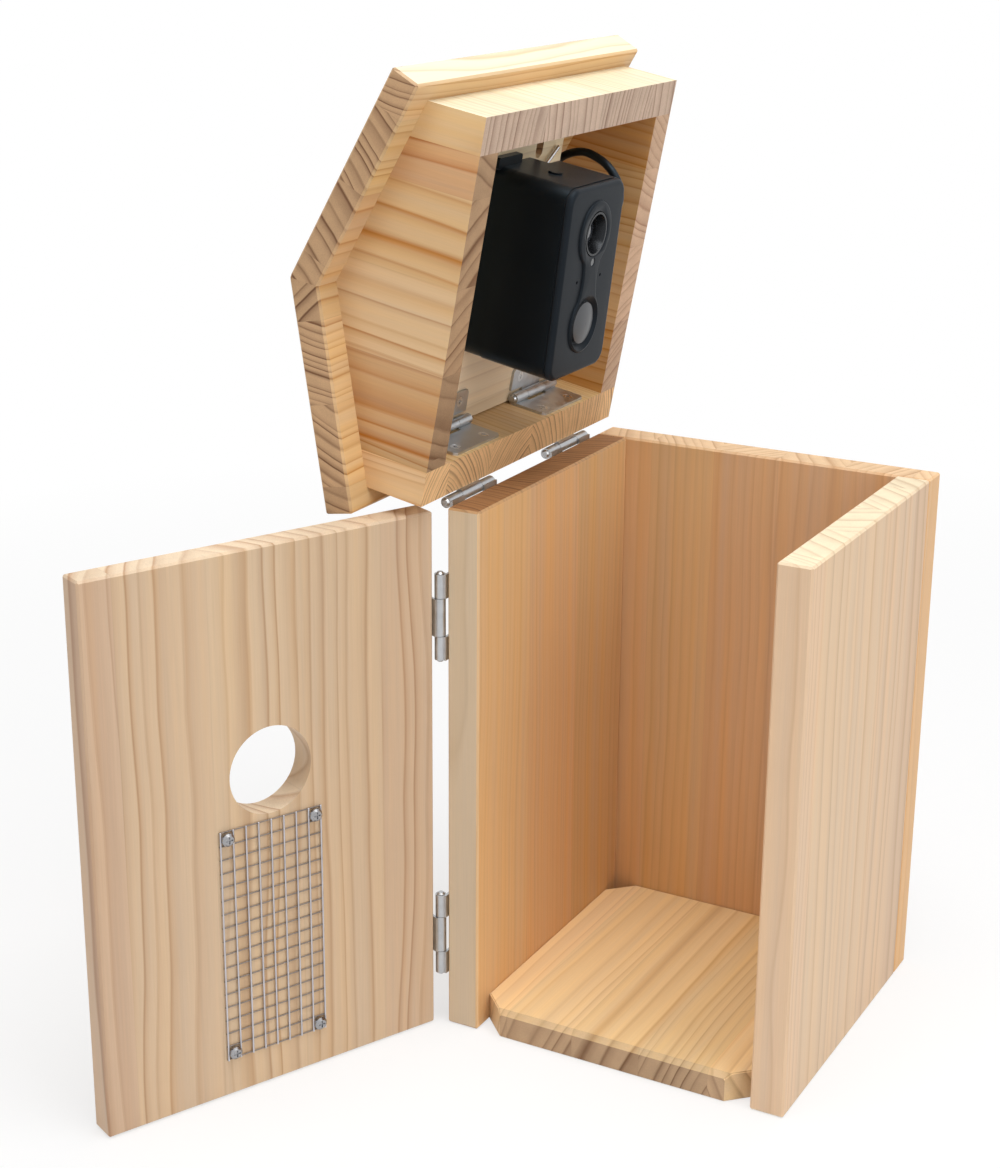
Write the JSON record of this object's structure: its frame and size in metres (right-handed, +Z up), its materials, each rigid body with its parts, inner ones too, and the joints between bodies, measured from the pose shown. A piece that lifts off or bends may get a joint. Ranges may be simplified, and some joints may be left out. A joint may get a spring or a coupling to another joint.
{
  "type": "smart nest box",
  "caption": "Wooden nest box standing open: hinged front door with entrance hole and ladder mesh, hinged gable roof, and a hinged inner hatch that carries a camera.",
  "frame": {"origin": "middle of the box's footprint, on the ground", "axes": "+X to the right seen from the front, +Y to the back, +Z up; the door and the roof hinge on -X"},
  "size_m": [0.2438, 0.3112, 0.4188],
  "materials": {
    "pine": "oiled softwood with fine grain",
    "floor_pine": "oiled softwood with fine grain",
    "dowel_beech": "smooth beech",
    "hinge_steel": "zinc plated, satin",
    "screw_steel": "zinc plated, bright",
    "mesh_steel": "galvanised, dull",
    "catch_wire": "bright wire",
    "black_plastic": "fine texture",
    "face_plastic": "smooth",
    "seal_rubber": "matt",
    "lead_rubber": "matt",
    "circuit_green": "solder mask",
    "barrel_black": "black anodised",
    "ring_metal": "dark anodised",
    "lens_clear": "coated",
    "window_grey": "smoked",
    "sensor_clear": "clear dome",
    "cell_foil": "foil"
  },
  "bodies": {
    "box": {"back_panel": "pine", "left_wall": "pine", "right_wall": "pine", "floor_board": "floor_pine", "box_dowels": "dowel_beech", "wall_hinge_screws": "screw_steel", "door_hinge_upper_wall_leaf": "hinge_steel", "door_hinge_lower_wall_leaf": "hinge_steel", "door_hinge_upper_pin": "hinge_steel", "door_hinge_lower_pin": "hinge_steel", "roof_hinge_front_wall_leaf": "hinge_steel", "roof_hinge_rear_wall_leaf": "hinge_steel", "roof_hinge_front_pin": "hinge_steel", "roof_hinge_rear_pin": "hinge_steel"},
    "door": {"front_door": "pine", "ladder_mesh": "mesh_steel", "mesh_screws": "screw_steel", "door_hinge_upper_door_leaf": "hinge_steel", "door_hinge_lower_door_leaf": "hinge_steel", "door_hinge_screws": "screw_steel"},
    "roof": {"roof_left_side": "pine", "roof_right_side": "pine", "roof_front_gable": "pine", "roof_rear_gable": "pine", "roof_left_board": "pine", "roof_right_board": "pine", "roof_dowels": "dowel_beech", "roof_hinge_front_roof_leaf": "hinge_steel", "roof_hinge_rear_roof_leaf": "hinge_steel", "roof_hinge_screws": "screw_steel", "hatch_hinge_front_side_leaf": "hinge_steel", "hatch_hinge_rear_side_leaf": "hinge_steel", "hatch_hinge_front_pin": "hinge_steel", "hatch_hinge_rear_pin": "hinge_steel"},
    "hatch": {"hatch_plate": "pine", "hatch_hinge_front_plate_leaf": "hinge_steel", "hatch_hinge_rear_plate_leaf": "hinge_steel", "hatch_hinge_screws": "screw_steel", "camera_foot": "black_plastic", "camera_shell": "black_plastic", "camera_seal": "seal_rubber", "camera_face": "face_plastic", "camera_screws": "screw_steel", "circuit_board": "circuit_green", "lens_barrel": "barrel_black", "lens_ring": "ring_metal", "lens_glass": "lens_clear", "lower_window": "window_grey", "light_sensor": "sensor_clear", "battery_case": "black_plastic", "battery_lid": "face_plastic", "battery_cell": "cell_foil", "battery_screws": "screw_steel", "camera_plug": "black_plastic", "battery_plug": "black_plastic", "lead": "lead_rubber"},
    "catch": {"turn_catch": "catch_wire"},
    "button": {"camera_button": "black_plastic"}
  },
  "joints": [
    {"name": "door_swing", "type": "hinge", "parent": "box", "child": "door", "pos_m": [-0.0832, -0.078, 0], "axis": [0, 0, -1], "range_deg": [-115.1, 70]},
    {"name": "roof_swing", "type": "hinge", "parent": "box", "child": "roof", "pos_m": [-0.0832, 0, 0.2405], "axis": [0, -1, 0], "range_deg": [-79.3, 0]},
    {"name": "hatch_swing", "type": "hinge", "parent": "roof", "child": "hatch", "pos_m": [-0.09817, 0, 0.2647], "axis": [0, 1, 0], "range_deg": [0, 70]},
    {"name": "latch_turn", "type": "hinge", "parent": "hatch", "child": "catch", "pos_m": [-0.08564, 0.0053, 0.37163], "axis": [-0.9826, 0, 0.1857], "range_deg": [-54, 30]},
    {"name": "button_press", "type": "slide", "parent": "hatch", "child": "button", "axis": [-0.1857, 0, -0.9826], "range_m": [0, 0.0006], "stiffness_N_per_m": 400}
  ]
}
